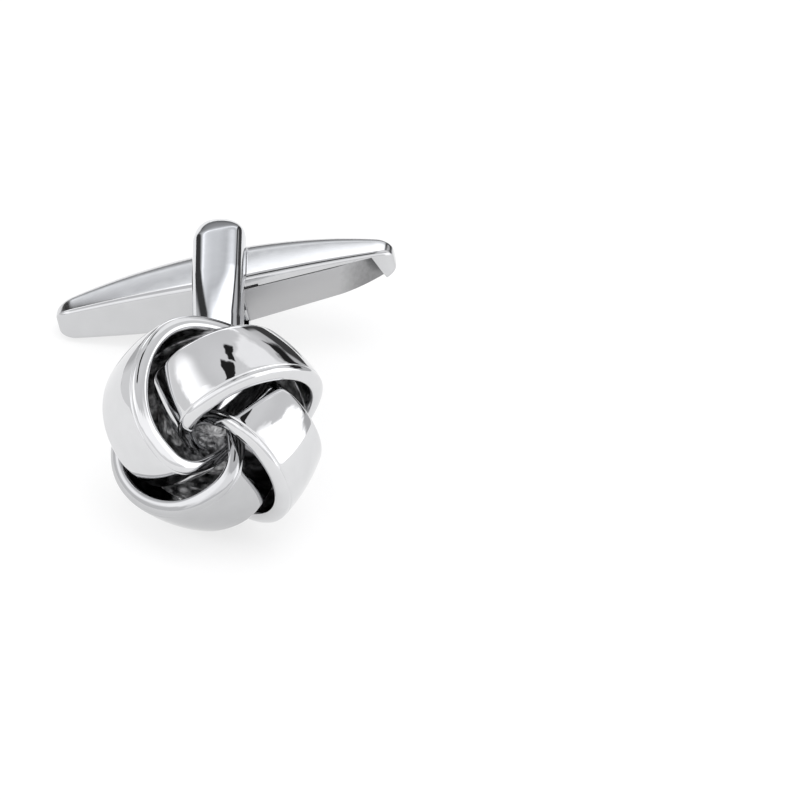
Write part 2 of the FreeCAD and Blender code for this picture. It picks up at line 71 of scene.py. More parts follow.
def mesh_object(name, verts, faces, body, nodes=(), smooth=True):
    me = bpy.data.meshes.new(name)
    me.from_pydata([tuple(map(float, v)) for v in verts], [], [tuple(map(int, f)) for f in faces])
    me.validate(); me.update()
    bm = bmesh.new(); bm.from_mesh(me)
    bmesh.ops.recalc_face_normals(bm, faces=bm.faces)
    bm.to_mesh(me); bm.free()
    if smooth:
        me.polygons.foreach_set("use_smooth", [True] * len(me.polygons))
    ob = bpy.data.objects.new(name, me)
    bpy.context.scene.collection.objects.link(ob)
    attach(ob, body)
    if nodes:
        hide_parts(*nodes)
    return ob

# ------------------------------------------------------------------ materials
def node_material(name):
    m = bpy.data.materials.new(name)
    m.use_nodes = True
    nt = m.node_tree
    bsdf = nt.nodes["Principled BSDF"]
    return m, nt, bsdf

def chrome(name, base, rough, rough_var, scratch, wave):
    m, nt, b = node_material(name)
    N, L = nt.nodes, nt.links
    tc = N.new("ShaderNodeTexCoord")
    # slight unevenness of the plating colour
    n1 = N.new("ShaderNodeTexNoise"); n1.inputs["Scale"].default_value = 900; n1.inputs["Detail"].default_value = 3
    L.new(tc.outputs["Object"], n1.inputs["Vector"])
    cr = N.new("ShaderNodeValToRGB")
    cr.color_ramp.elements[0].position = 0.3; cr.color_ramp.elements[1].position = 0.7
    c0 = [c * 0.965 for c in base]; c1 = list(base)
    cr.color_ramp.elements[0].color = (*c0, 1); cr.color_ramp.elements[1].color = (*c1, 1)
    L.new(n1.outputs["Fac"], cr.inputs["Fac"]); L.new(cr.outputs["Color"], b.inputs["Base Color"])
    b.inputs["Metallic"].default_value = 1.0
    # polishing haze
    n2 = N.new("ShaderNodeTexNoise"); n2.inputs["Scale"].default_value = 1500; n2.inputs["Detail"].default_value = 4
    L.new(tc.outputs["Object"], n2.inputs["Vector"])
    mr = N.new("ShaderNodeMapRange"); mr.inputs["From Min"].default_value = 0.3; mr.inputs["From Max"].default_value = 0.7
    mr.inputs["To Min"].default_value = rough; mr.inputs["To Max"].default_value = rough + rough_var
    L.new(n2.outputs["Fac"], mr.inputs["Value"]); L.new(mr.outputs["Result"], b.inputs["Roughness"])
    # hairline scratches over a faint long wave
    mp = N.new("ShaderNodeMapping"); mp.inputs["Scale"].default_value = (1, 6, 1); mp.inputs["Rotation"].default_value = (0.4, 0.2, 0.9)
    L.new(tc.outputs["Object"], mp.inputs["Vector"])
    n3 = N.new("ShaderNodeTexNoise"); n3.inputs["Scale"].default_value = 2500; n3.inputs["Detail"].default_value = 2
    L.new(mp.outputs["Vector"], n3.inputs["Vector"])
    n4 = N.new("ShaderNodeTexNoise"); n4.inputs["Scale"].default_value = 420; n4.inputs["Detail"].default_value = 1
    L.new(tc.outputs["Object"], n4.inputs["Vector"])
    b1 = N.new("ShaderNodeBump"); b1.inputs["Strength"].default_value = scratch; b1.inputs["Distance"].default_value = 0.000004
    L.new(n3.outputs["Fac"], b1.inputs["Height"])
    b2 = N.new("ShaderNodeBump"); b2.inputs["Strength"].default_value = wave; b2.inputs["Distance"].default_value = 0.00006
    L.new(n4.outputs["Fac"], b2.inputs["Height"]); L.new(b1.outputs["Normal"], b2.inputs["Normal"])
    L.new(b2.outputs["Normal"], b.inputs["Normal"])
    return m

def rough_metal(name, dark, light, rough, scale, depth, metallic=1.0, recess_shade=None):
    m, nt, b = node_material(name)
    N, L = nt.nodes, nt.links
    tc = N.new("ShaderNodeTexCoord")
    n1 = N.new("ShaderNodeTexNoise"); n1.inputs["Scale"].default_value = scale; n1.inputs["Detail"].default_value = 6
    L.new(tc.outputs["Object"], n1.inputs["Vector"])
    cr = N.new("ShaderNodeValToRGB")
    cr.color_ramp.elements[0].position = 0.38; cr.color_ramp.elements[1].position = 0.68
    cr.color_ramp.elements[0].color = (*dark, 1); cr.color_ramp.elements[1].color = (*light, 1)
    tone = n1.outputs["Fac"]
    if recess_shade:                                            # painted shade: darker towards the deep end of the recess
        sp = N.new("ShaderNodeSeparateXYZ"); L.new(tc.outputs["Object"], sp.inputs["Vector"])
        mk = N.new("ShaderNodeMapRange"); mk.interpolation_type = "SMOOTHSTEP"
        mk.inputs["From Min"].default_value = recess_shade[0]; mk.inputs["From Max"].default_value = recess_shade[1]
        mk.inputs["To Min"].default_value = 0.0; mk.inputs["To Max"].default_value = recess_shade[2]
        L.new(sp.outputs["X"], mk.inputs["Value"])
        ev = N.new("ShaderNodeMath"); ev.operation = "MULTIPLY_ADD"; ev.inputs[1].default_value = 0.2; ev.inputs[2].default_value = 0.42
        L.new(tone, ev.inputs[0])
        sb = N.new("ShaderNodeMath"); sb.operation = "SUBTRACT"
        L.new(ev.outputs[0], sb.inputs[0]); L.new(mk.outputs["Result"], sb.inputs[1]); tone = sb.outputs[0]
        # painted shade: an extra dark ramp colour for the shaded end of the recess
        q = cr.color_ramp.elements.new(0.02); q.color = (dark[0] * 0.5, dark[1] * 0.5, dark[2] * 0.5, 1)
    L.new(tone, cr.inputs["Fac"]); L.new(cr.outputs["Color"], b.inputs["Base Color"])
    b.inputs["Metallic"].default_value = metallic
    mr = N.new("ShaderNodeMapRange"); mr.inputs["To Min"].default_value = rough * 0.7; mr.inputs["To Max"].default_value = min(1.0, rough * 1.4)
    L.new(n1.outputs["Fac"], mr.inputs["Value"]); L.new(mr.outputs["Result"], b.inputs["Roughness"])
    v = N.new("ShaderNodeTexVoronoi"); v.inputs["Scale"].default_value = scale * 1.7
    L.new(tc.outputs["Object"], v.inputs["Vector"])
    b1 = N.new("ShaderNodeBump"); b1.inputs["Strength"].default_value = 0.5; b1.inputs["Distance"].default_value = depth
    L.new(v.outputs["Distance"], b1.inputs["Height"])
    b2 = N.new("ShaderNodeBump"); b2.inputs["Strength"].default_value = 0.7; b2.inputs["Distance"].default_value = depth
    L.new(n1.outputs["Fac"], b2.inputs["Height"]); L.new(b1.outputs["Normal"], b2.inputs["Normal"])
    L.new(b2.outputs["Normal"], b.inputs["Normal"])
    return m

M_PLATE = chrome("plated_mirror", (0.69, 0.693, 0.702), 0.015, 0.03, 0.10, 0.06)
# painted shade: a darker copy of the plating for the lower strip, standing in for the shade under the knot
M_PLATE_SHADED = chrome("plated_mirror_painted_shade", (0.53, 0.533, 0.542), 0.03, 0.04, 0.12, 0.06)
M_BAR = chrome("plated_bar", (0.60, 0.603, 0.612), 0.10, 0.05, 0.15, 0.012)
M_POST = chrome("plated_post", (0.66, 0.667, 0.685), 0.035, 0.04, 0.10, 0.03)
M_CORE = rough_metal("dark_casting", (0.04, 0.04, 0.042), (0.58, 0.58, 0.585), 0.30, 1500, 0.00005)
M_STEEL = rough_metal("turned_steel", (0.45, 0.46, 0.48), (0.62, 0.63, 0.65), 0.25, 3000, 0.000006)
# the leaf plate carries painted shade, darker towards its dished end where the recess lies in shade
M_LEAF = rough_metal("spring_strip", (0.46, 0.46, 0.465), (0.50, 0.50, 0.505), 0.36, 5200, 0.0000006, recess_shade=(0.0056, 0.0082, 0.46))


def dress(ob, mat):
    ob.data.materials.clear(); ob.data.materials.append(mat)
    return ob

# ------------------------------------------------------------------ ribbons
AX = np.array([-0.35296, 0.66826, -0.65487])
E1 = np.array([-0.30585, 0.57906, 0.75574])
E2 = np.array([0.88424, 0.46703, 0.0])
STATIONS = [(-34, 2.65, 2.75), (-24, 3.25, 3.35), (-14, 3.97, 3.95), (-5, 4.66, 4.55), (3, 5.13, 4.92),
            (10, 5.39, 5.18), (18, 5.58, 5.45), (28, 5.83, 5.63), (40, 6.08, 5.76), (52, 6.22, 5.80),
            (64, 6.31, 5.73), (76, 6.33, 5.59), (88, 6.30, 5.42), (98, 6.18, 5.23), (108, 5.95, 5.02),
            (118, 5.64, 4.80), (130, 5.30, 4.60), (142, 5.06, 4.46)]
TAU, RIM, FAR, CROWN, SLANT = 0.85, -1.75, 2.1, 0.24, 0.18

def band_section():
    """(distance from the rim, depth) round the strip: rolled rim bead, fine groove, flat, rounded far edge"""
    w = FAR - RIM
    pts = []
    for q in np.linspace(0, 1, 26):                      # outer face, far edge to groove
        pts.append((w - 0.22 - q * (w - 0.22 - 0.47), 0.0))
    pts += [(0.445, 0.004), (0.425, 0.026), (0.405, 0.050), (0.375, 0.056), (0.35, 0.040), (0.335, 0.016), (0.315, 0.002)]
    for q in np.linspace(0, 1, 15):                      # rolled rim
        f = math.pi * q
        y = TAU / 2 - (TAU / 2) * math.cos(f)
        x = 0.285 * (1 - math.sin(f) ** 0.8)
        pts.append((x, y))
    for q in np.linspace(0, 1, 14)[1:]:                  # inner face
        pts.append((0.285 + q * (w - 0.22 - 0.285), TAU))
    for q in np.linspace(0, 1, 9)[1:-1]:                 # far edge
        f = math.pi * q
        pts.append((w - 0.22 + 0.22 * math.sin(f) ** 0.6, TAU / 2 + (TAU / 2) * math.cos(f)))
    return pts

def band_mesh(k):
    t = np.radians([s[0] for s in STATIONS])
    fr, fe = smooth_line(t, [s[1] for s in STATIONS]), smooth_line(t, [s[2] for s in STATIONS])
    tt = np.linspace(t[0], t[-1], 230); e = 1e-4
    sec = band_section(); m = len(sec); w = FAR - RIM
    verts = []
    for q in tt:
        ro, re = fr(q), fe(q)
        if k == 3:                                       # the left strip was bent a little wider
            re += 0.36 * math.sin(math.pi * min(1.0, max(0.0, (math.degrees(q) - 5) / 125))) ** 2
        lo = ro / math.hypot(ro, (fr(q + e) - fr(q - e)) / (2 * e)); le = re / math.hypot(re, (fe(q + e) - fe(q - e)) / (2 * e))
        deep = TAU / max(0.55, 0.5 * (lo + le))
        ray = E1 * math.cos(q) + E2 * math.sin(q)
        for s, d in sec:
            j = s / w
            r = ro * (1 - j) + re * j + CROWN * (1 - (2 * j - 1) ** 2) - d * deep / TAU
            a = RIM + w * j - SLANT * (d / TAU) * (1 - j)
            verts.append(AX * a + ray * r)
    faces = []
    n = len(tt)
    for i in range(n - 1):
        for j in range(m):
            j2 = (j + 1) % m
            faces.append((i * m + j, i * m + j2, (i + 1) * m + j2, (i + 1) * m + j))
    faces.append(tuple(range(m - 1, -1, -1))); faces.append(tuple((n - 1) * m + j for j in range(m)))
    c, s = math.cos(math.radians(-90 * k)), math.sin(math.radians(-90 * k))
    rot = np.array([[c, -s, 0], [s, c, 0], [0, 0, 1]])
    return np.array(verts) @ rot.T, faces

for k, name in enumerate(["upper", "right", "lower", "left"]):
    v, f = band_mesh(k)
    # the strip ends flush behind the plate
    me = bpy.data.meshes.new("tmp"); me.from_pydata([tuple(map(float, p)) for p in v], [], f); me.update()
    bm = bmesh.new(); bm.from_mesh(me)
    bmesh.ops.bisect_plane(bm, geom=bm.verts[:] + bm.edges[:] + bm.faces[:], plane_co=(0, 0, -3.05), plane_no=(0, 0, -1), clear_outer=True)
    bmesh.ops.holes_fill(bm, edges=[q for q in bm.edges if q.is_boundary])
    bm.verts.index_update()
    v2 = [p.co[:] for p in bm.verts]; f2 = [[p.index for p in q.verts] for q in bm.faces]
    bm.free(); bpy.data.meshes.remove(me)
    ob = mesh_object("ribbon_" + name, from_head(v2), f2, "head", ["knot_band_" + name])
    # the lower strip takes the darker copy of the plating, which is painted shade
    dress(ob, M_PLATE_SHADED if name == "lower" else M_PLATE)

# ------------------------------------------------------------------ toggle bar
HALF_BAR = [(0.0, 1.51, 5.60, 0.0), (3.6, 1.39, 5.02, 0.446), (6.6, 1.19, 3.92, 0.818), (8.6, 1.01, 2.86, 1.066), (10.0, 0.87, 2.0, 1.24)]
BAR_SIDE, BAR_FRONT = -0.2, 2.6
hx = [q[0] for q in HALF_BAR]
def even(x, y):
    return smooth_line([-q for q in x[:0:-1]] + list(x), list(y[:0:-1]) + list(y))
f_b, f_d, f_i = (even(hx, [q[k] for q in HALF_BAR]) for k in (1, 2, 3))
f_i = lambda x: 0.124 * abs(x)

BAR_END = 1.0
def bar_section(x):
    ax = abs(x)
    k = math.sqrt(max(0.0, 1 - (max(0.0, ax - (10 - BAR_END)) / BAR_END) ** 2))
    b = float(f_b(ax)) - 0.46 * (1 - k)
    yf = -BAR_FRONT + f_i(ax) + 0.55 * (1 - k)
    yb = -BAR_FRONT + f_i(ax) + float(f_d(ax)) - 0.75 * (1 - k)
    rr = 0.25 * b                                # rounding of the front's edges
    bf = 0.965 * b                               # height where the top meets the rounding
    ym = yf + 0.52 * (yb - yf)
    half = []
    for q in np.linspace(0, 1, 9):               # front face, middle to rounding
        half.append((yf, q * (bf - rr)))
    for q in np.linspace(0, 1, 9)[1:]:
        f = q * (math.pi / 2 - 0.10)
        half.append((yf + rr * (1 - math.cos(f)), bf - rr + rr * math.sin(f)))
    y0, z0 = half[-1]
    for q in np.linspace(0, 1, 16)[1:]:
        y = y0 + q * (ym - y0)
        half.append((y, b - (b - z0) * ((ym - y) / (ym - y0)) ** 2))
    for q in np.linspace(0, 1, 30)[1:]:
        f = q * math.pi / 2
        half.append((ym + (yb - ym) * math.sin(f) ** 0.85, b * math.cos(f) ** 0.85 if f < math.pi / 2 - 1e-9 else 0.0))
    return half + [(y, -z) for y, z in half[-2:0:-1]]

def bar_mesh():
    xs = np.concatenate([10 - BAR_END * (1 - np.sin(np.linspace(math.pi / 2, 0, 16)[:-1])), np.linspace(10 - BAR_END, 0, 60)])
    xs = np.concatenate([-xs[:-1], xs[::-1]])
    verts, faces = [], []
    m = len(bar_section(0.0))
    for x in xs:
        verts += [(x + BAR_SIDE, y, z) for y, z in bar_section(x)]
    n = len(xs)
    for i in range(n - 1):
        for j in range(m):
            j2 = (j + 1) % m
            faces.append((i * m + j, i * m + j2, (i + 1) * m + j2, (i + 1) * m + j))
    faces.append(tuple(range(m - 1, -1, -1))); faces.append(tuple((n - 1) * m + j for j in range(m)))
    return verts, faces

def prism_xy(name, pts, z0, z1):
    n = len(pts)
    v = [(x, y, z0) for x, y in pts] + [(x, y, z1) for x, y in pts]
    f = [tuple(range(n - 1, -1, -1)), tuple(range(n, 2 * n))] + [(i, (i + 1) % n, n + (i + 1) % n, n + i) for i in range(n)]
    return raw(name, v, f)

def raw(name, v, f):
    me = bpy.data.meshes.new(name); me.from_pydata([tuple(map(float, p)) for p in v], [], f); me.update()
    bm = bmesh.new(); bm.from_mesh(me); bmesh.ops.recalc_face_normals(bm, faces=bm.faces); bm.to_mesh(me); bm.free()
    ob = bpy.data.objects.new(name, me); bpy.context.scene.collection.objects.link(ob)
    return ob

def carve(ob, cutters):
    for c in cutters:
        m = ob.modifiers.new("cut", "BOOLEAN"); m.operation = "DIFFERENCE"; m.solver = "EXACT"; m.object = c
    dg = bpy.context.evaluated_depsgraph_get()
    me = bpy.data.meshes.new_from_object(ob.evaluated_get(dg))
    ob.modifiers.clear(); old = ob.data; ob.data = me; bpy.data.meshes.remove(old)
    for c in cutters:
        d = c.data; bpy.data.objects.remove(c); bpy.data.meshes.remove(d)
    return ob

def seat_line(k, x):
    a = math.atan(0.124); y = -2.25 + 0.124 * 6.6
    return -2.25 + 0.124 * x if k == 0 else y + math.tan(a + math.radians(20)) * (x - 6.6)

def seat_prism(name, k, x0, x1, low0, low1, top, slant=0.0, back=0.0, front=3.0):
    c = [(x0, -low0), (x1 + slant, -low1), (x1, top), (x0, top)]
    v = [(x, seat_line(k, x) + back, z) for x, z in c] + [(x, seat_line(k, x) - front, z) for x, z in c]
    f = [(3, 2, 1, 0), (4, 5, 6, 7)] + [(i, (i + 1) % 4, 4 + (i + 1) % 4, 4 + i) for i in range(4)]
    return raw(name, v, f)

ring = [(1.5 * math.cos(q), 1.5 * math.sin(q)) for q in np.linspace(0, 2 * math.pi, 65)[:-1]]
hole = [(0.69 * math.cos(q), 0.69 * math.sin(q)) for q in np.linspace(0, 2 * math.pi, 49)[:-1]]
v, f = bar_mesh()
bar = raw("bar_raw", v, f)
carve(bar, [prism_xy("c1", ring, -0.8, 0.8), prism_xy("c2", [(-1.35, -3.6), (1.95, -3.6), (1.95, -0.85), (-1.35, -0.85)], -0.8, 0.8),
            prism_xy("c3", [(1, -3.6), (6.4, -3.6), (6.4, -0.85 + 0.124 * 6.4), (1, -0.85)], -0.68, 0.68),
            seat_prism("c4", 0, 0.8, 6.7, 1.94, 1.66, 0.68), seat_prism("c5", 1, 6.6, 8.6, 1.66, 1.48, 0.68, 0.85),
            prism_xy("c6", hole, -1.6, 1.6)])
me = bar.data
co = np.array([q.co[:] for q in me.vertices]); faces = [list(p.vertices) for p in me.polygons]
d = bar.data; bpy.data.objects.remove(bar); bpy.data.meshes.remove(d)
bar = mesh_object("bar_shell", from_pivot(co), faces, "toggle", ["toggle_bar"])
bar.data.set_sharp_from_angle(angle=math.radians(38))
bv = bar.modifiers.new("edge", "BEVEL"); bv.width = 0.00006; bv.segments = 3; bv.limit_method = "ANGLE"; bv.angle_limit = math.radians(45); bv.harden_normals = True
dress(bar, M_BAR)

# ------------------------------------------------------------------ post
TIP, TIP_X, HALF_TIP, ROOT_X, HALF_ROOT, FOOT, CAP, SKEW = 5.1, -0.29, 1.56, 0.31, 1.45, -15.2, 2.95, 0.5
def tip_drop(u):
    """fall of the arm's outside beyond the crease that starts its rounded tip"""
    s = math.tan(math.radians(5.0))
    if u <= 0:
        return 0.0
    return s * u * u / 1.1 if u < 0.55 else s * (u - 0.275)

def post_mesh():
    yc = TIP - CAP
    st = []
    for y in np.linspace(FOOT, yc, 90):
        q = (y - FOOT) / (yc - FOOT)
        st.append((ROOT_X + (TIP_X - ROOT_X) * q, y, -1.0, 0.0, HALF_ROOT + (HALF_TIP - HALF_ROOT) * q))
    right = [(cx, cy, 1.0, 0.0, w) for cx, cy, _, _, w in st[::-1]]
    for f in np.linspace(math.pi, 0, 46)[1:-1]:
        st.append((TIP_X, yc, math.cos(f), math.sin(f), HALF_TIP))
    st += right
    verts = []
    for cx, cy, ux, uy, w in st:
        q0 = min(1.0, max(0.0, (-3.0 - cy) / 6.0))           # rounder and slimmer towards the foot
        n = 3.3 - 1.0 * q0 - 0.5 * uy
        deep = 1.0 + 0.05 * q0 - 0.25 * uy
        top = 2.67 - 0.0038 * max(0.0, -4.0 - cy) ** 2
        half = []
        t0 = math.asin(0.8 ** (n / 2))
        for j in list(np.linspace(0, 0.8, 24)) + [math.sin(t) ** (2 / n) for t in np.linspace(t0, math.pi / 2, 22)[1:]]:
            half.append((w * j, top - deep * (1 - max(0.0, 1 - j ** n) ** (1 / n))))
        low = half[-1][1]
        loop = half + [(w, z) for z in np.linspace(low, -low, 7)[1:-1]] + [(d, -z) for d, z in half[::-1]]
        slim = 0.34 * min(1.0, max(0.0, (cy + 10.0) / 2.0))     # the lower arm is a little narrower
        for d, z in loop:
            y = cy + uy * d * CAP / HALF_TIP
            z -= math.copysign(min(tip_drop(y - TIP + 3.15), max(0.0, abs(z) - 1.2)), z)
            d0 = d * (1 - slim * min(1.0, max(0.0, 0.5 - z / 2.0)))
            verts.append((cx + ux * d0 - SKEW * uy * uy * d / w, y, z))
    m = len(verts) // len(st)
    faces = [(i * m + j, i * m + j + 1, (i + 1) * m + j + 1, (i + 1) * m + j) for i in range(len(st) - 1) for j in range(m - 1)]
    return verts, faces

v, f = post_mesh()
me = bpy.data.meshes.new("post_raw"); me.from_pydata([tuple(map(float, p)) for p in v], [], f); me.update()
bm = bmesh.new(); bm.from_mesh(me)
bmesh.ops.remove_doubles(bm, verts=bm.verts, dist=1e-5)
wn = (0.0, -math.cos(g), math.sin(g))
bmesh.ops.bisect_plane(bm, geom=bm.verts[:] + bm.edges[:] + bm.faces[:], plane_co=(0, -2.85 * wn[1] - REACH, -2.85 * wn[2]), plane_no=wn, clear_outer=True)
bmesh.ops.holes_fill(bm, edges=[q for q in bm.edges if q.is_boundary])
bmesh.ops.recalc_face_normals(bm, faces=bm.faces)
bm.to_mesh(me); bm.free()
post = bpy.data.objects.new("post_raw", me); bpy.context.scene.collection.objects.link(post)
seat = [(0.66 * math.cos(q), 0.66 * math.sin(q)) for q in np.linspace(0, 2 * math.pi, 49)[:-1]]
carve(post, [prism_xy("p1", [(-3, -10.4), (3, -10.4), (3, 6), (-3, 6)], -1.6, 1.6), prism_xy("p2", seat, -2.15, 2.15)])
co = np.array([q.co[:] for q in post.data.vertices]); faces = [list(p.vertices) for p in post.data.polygons]
d = post.data; bpy.data.objects.remove(post); bpy.data.meshes.remove(d)
post = mesh_object("post_fork", from_pivot(co), faces, "head", ["post_yoke"])
post.data.set_sharp_from_angle(angle=math.radians(38))
bv = post.modifiers.new("edge", "BEVEL"); bv.width = 0.00008; bv.segments = 3; bv.limit_method = "ANGLE"; bv.angle_limit = math.radians(50); bv.harden_normals = True
dress(post, M_POST)

# ------------------------------------------------------------------ core: cast dome on its tray
from mathutils import noise
def core_mesh(nt=160):
    prof = [(3.3 * math.sin(q), -0.9 + 3.3 * math.cos(q)) for q in np.linspace(0.02, math.pi / 2, 60)]
    prof += [(3.3 + 1.62 * q, -0.9 + 1.14 * q) for q in np.linspace(0, 1, 30)[1:]]
    prof += [(4.97, 0.25), (5.0, 0.18)] + [(5.0, w) for w in np.linspace(0.18, -1.8, 14)[1:]] + [(4.55 + 0.45 * q, -2.3 + 0.5 * q) for q in np.linspace(1, 0, 6)[1:]]
    prof += [(r, -2.3) for r in np.linspace(4.55, 0.3, 10)[1:]]
    verts, faces = [], []
    for i, (r, w) in enumerate(prof):
        for k in range(nt):
            a = 2 * math.pi * k / nt
            p = Vector((r * math.cos(a), r * math.sin(a), w))
            n = Vector((p.x, p.y, w + 0.9)).normalized() if i < 60 else (Vector((0, 0, 1)) if i < 89 else Vector((0, 0, 0)))
            h = 0.05 * noise.noise(p * 3.1) + 0.03 * noise.noise(p * 9.0 + Vector((7, 3, 1))) + 0.015 * noise.noise(p * 23.0)
            verts.append(p + n * h)
    m = len(prof)
    for i in range(m - 1):
        for k in range(nt):
            k2 = (k + 1) % nt
            faces.append((i * nt + k, i * nt + k2, (i + 1) * nt + k2, (i + 1) * nt + k))
    faces.append(tuple(range(nt))); faces.append(tuple((m - 1) * nt + k for k in range(nt - 1, -1, -1)))
    return np.array([q[:] for q in verts]), faces
v, f = core_mesh()
core = mesh_object("core_cast", from_head(v), f, "head", ["knot_core"])
core.data.set_sharp_from_angle(angle=math.radians(50))
dress(core, M_CORE)

# ------------------------------------------------------------------ leaf spring: plate with a dished end and a joggled tongue
def strip(line, low, top, t, rnd=0.05):
    """rounded flat strip; line gives (x, inner y), low and top give the edges at x"""
    verts, faces = [], []
    n = len(line)
    for i, (x, y) in enumerate(line):
        i0, i1 = max(0, i - 1), min(n - 1, i + 1)
        tx, ty = line[i1][0] - line[i0][0], line[i1][1] - line[i0][1]
        l = math.hypot(tx, ty); nx, ny = ty / l, -tx / l          # towards the front
        z0, z1 = low(x), top(x)
        e = 0.0 if 0 < i < n - 1 else rnd * 0.6
        loop = []
        for zz, dd in ((z0 + rnd, e), (z0 + rnd * 0.3, rnd * 0.3 + e), (z0, rnd), (z0, t - rnd), (z0 + rnd * 0.3, t - rnd * 0.3 - e), (z0 + rnd, t - e),
                       (0.5 * (z0 + z1), t - e), (z1 - rnd, t - e), (z1 - rnd * 0.3, t - rnd * 0.3 - e), (z1, t - rnd), (z1, rnd), (z1 - rnd * 0.3, rnd * 0.3 + e), (z1 - rnd, e), (0.5 * (z0 + z1), e)):
            loop.append((x + nx * dd, y + ny * dd, zz))
        verts += loop
    m = 14
    for i in range(n - 1):
        for j in range(m):
            j2 = (j + 1) % m
            faces.append((i * m + j, i * m + j2, (i + 1) * m + j2, (i + 1) * m + j))
    faces.append(tuple(range(m - 1, -1, -1))); faces.append(tuple((n - 1) * m + j for j in range(m)))
    return verts, faces

def plate_low(x):
    return -float(np.interp(x, (0.9, 1.3, 6.6, 8.55, 9.0), (1.43, 1.41, 1.14, 0.985, 0.94)))
xs = [0.9, 0.94] + list(np.linspace(1.0, 8.95, 68)) + [8.98, 9.0]
v1, f1 = strip([(x, -2.25 + 0.124 * x + 0.115 * max(0.0, x - 6.1) ** 2) for x in xs], plate_low,
               lambda x: 0.6 - 2.6 * max(0.0, x - 8.5), 0.25)
tl = [(-1.1, -1.22), (-1.06, -1.22)] + [(x, -1.22) for x in np.linspace(-1.0, 1.8, 12)]
tl += [(x, -1.22 + (-1.83 + 1.22) * (3 * q * q - 2 * q ** 3)) for q, x in zip(np.linspace(0.08, 1, 10), np.linspace(1.9, 2.75, 10))] + [(3.3, -1.762), (3.5, -1.737)]
v2, f2 = strip(tl, lambda x: -0.6, lambda x: 0.6, 0.25)
v = v1 + v2; f = f1 + [tuple(k + len(v1) for k in q) for q in f2]
leaf = mesh_object("spring_leaf", from_pivot(v), f, "toggle", ["leaf_spring"])
leaf.data.set_sharp_from_angle(angle=math.radians(50))
dress(leaf, M_LEAF)

replaced = {"knot_band_upper", "knot_band_right", "knot_band_lower", "knot_band_left", "toggle_bar", "post_yoke", "knot_core", "leaf_spring"}
for name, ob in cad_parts.items():
    if name in replaced:
        continue
    mat = M_STEEL if name in ("pivot_pin", "detent_cam") else M_PLATE
    for s in ob.material_slots:
        s.link = "OBJECT"; s.material = mat

# ------------------------------------------------------------------ floor, light, camera
bm = bmesh.new(); bmesh.ops.create_grid(bm, x_segments=12, y_segments=12, size=0.5)
for q in bm.verts:
    q.co.x *= 0.150; q.co.y = q.co.y * 0.150 - 0.022
me = bpy.data.meshes.new("floor"); bm.to_mesh(me); bm.free()
floor = bpy.data.objects.new("floor", me); bpy.context.scene.collection.objects.link(floor)
mf, nt, b = node_material("floor_white")
b.inputs["Base Color"].default_value = (0.27, 0.27, 0.27, 1); b.inputs["Roughness"].default_value = 0.7
b.inputs["Specular IOR Level"].default_value = 0.2
b.inputs["Emission Color"].default_value = (1, 1, 1, 1); b.inputs["Emission Strength"].default_value = 0.70
me.materials.append(mf)

w = bpy.data.worlds.new("studio"); bpy.context.scene.world = w; w.use_nodes = True
N, L = w.node_tree.nodes, w.node_tree.links
bg = N["Background"]

def math_node(op, a, b=None):
    n = N.new("ShaderNodeMath"); n.operation = op
    for k, q in enumerate((a, b)):
        if q is None: continue
        if isinstance(q, (int, float)): n.inputs[k].default_value = q
        else: L.new(q, n.inputs[k])
    return n.outputs[0]

def step(v, lo, hi):
    n = N.new("ShaderNodeMapRange"); n.interpolation_type = "SMOOTHSTEP"
    n.inputs["From Min"].default_value = lo; n.inputs["From Max"].default_value = hi
    L.new(v, n.inputs["Value"])
    return n.outputs["Result"]

def window(v, lo, hi, soft):
    return math_node("MULTIPLY", step(v, lo - soft, lo + soft), math_node("SUBTRACT", 1.0, step(v, hi - soft, hi + soft)))

tc = N.new("ShaderNodeTexCoord"); sx = N.new("ShaderNodeSeparateXYZ")
L.new(tc.outputs["Generated"], sx.inputs["Vector"])
wob = N.new("ShaderNodeTexNoise"); wob.inputs["Scale"].default_value = 5.0; wob.inputs["Detail"].default_value = 5.0
L.new(tc.outputs["Generated"], wob.inputs["Vector"])
shake = math_node("MULTIPLY", math_node("SUBTRACT", wob.outputs["Fac"], 0.5), 22.0)
deg = 180 / math.pi
el0 = math_node("MULTIPLY", math_node("ARCSINE", sx.outputs["Z"]), deg)
az0 = math_node("MULTIPLY", math_node("ARCTAN2", sx.outputs["X"], sx.outputs["Y"]), deg)
el_ = math_node("ADD", el0, shake); az_ = math_node("ADD", az0, shake)

mr = N.new("ShaderNodeMapRange"); mr.inputs["From Min"].default_value = -90; mr.inputs["From Max"].default_value = 90
L.new(el0, mr.inputs["Value"])
ramp = N.new("ShaderNodeValToRGB"); ramp.color_ramp.interpolation = "EASE"
el = ramp.color_ramp.elements
BASE = ((-90, 0.95), (-18, 0.95), (-14, 0.56), (8, 0.56), (15, 0.62), (30, 0.80), (50, 0.78), (75, 0.85), (90, 0.85))
el[0].position = 0.0; el[0].color = (0.95, 0.95, 0.95, 1); el[1].position = 1.0; el[1].color = (0.85, 0.85, 0.86, 1)
for e_, v_ in BASE[1:-1]:
    q = el.new((e_ + 90) / 180); q.color = (v_, v_, v_ * 1.015, 1)
L.new(mr.outputs["Result"], ramp.inputs["Fac"])
col = ramp.outputs["Color"]

def lay(col, mask, value):
    n = N.new("ShaderNodeMix"); n.data_type = "RGBA"
    L.new(mask, n.inputs["Factor"]); L.new(col, n.inputs["A"]); n.inputs["B"].default_value = (value, value, value * 1.01, 1)
    return n.outputs["Result"]

def panel(col, az, el_lim, soft, value, rough=True):
    A, E = (az_, el_) if rough else (az0, el0)
    return lay(col, math_node("MULTIPLY", window(A, az[0], az[1], soft), window(E, el_lim[0], el_lim[1], soft)), value)

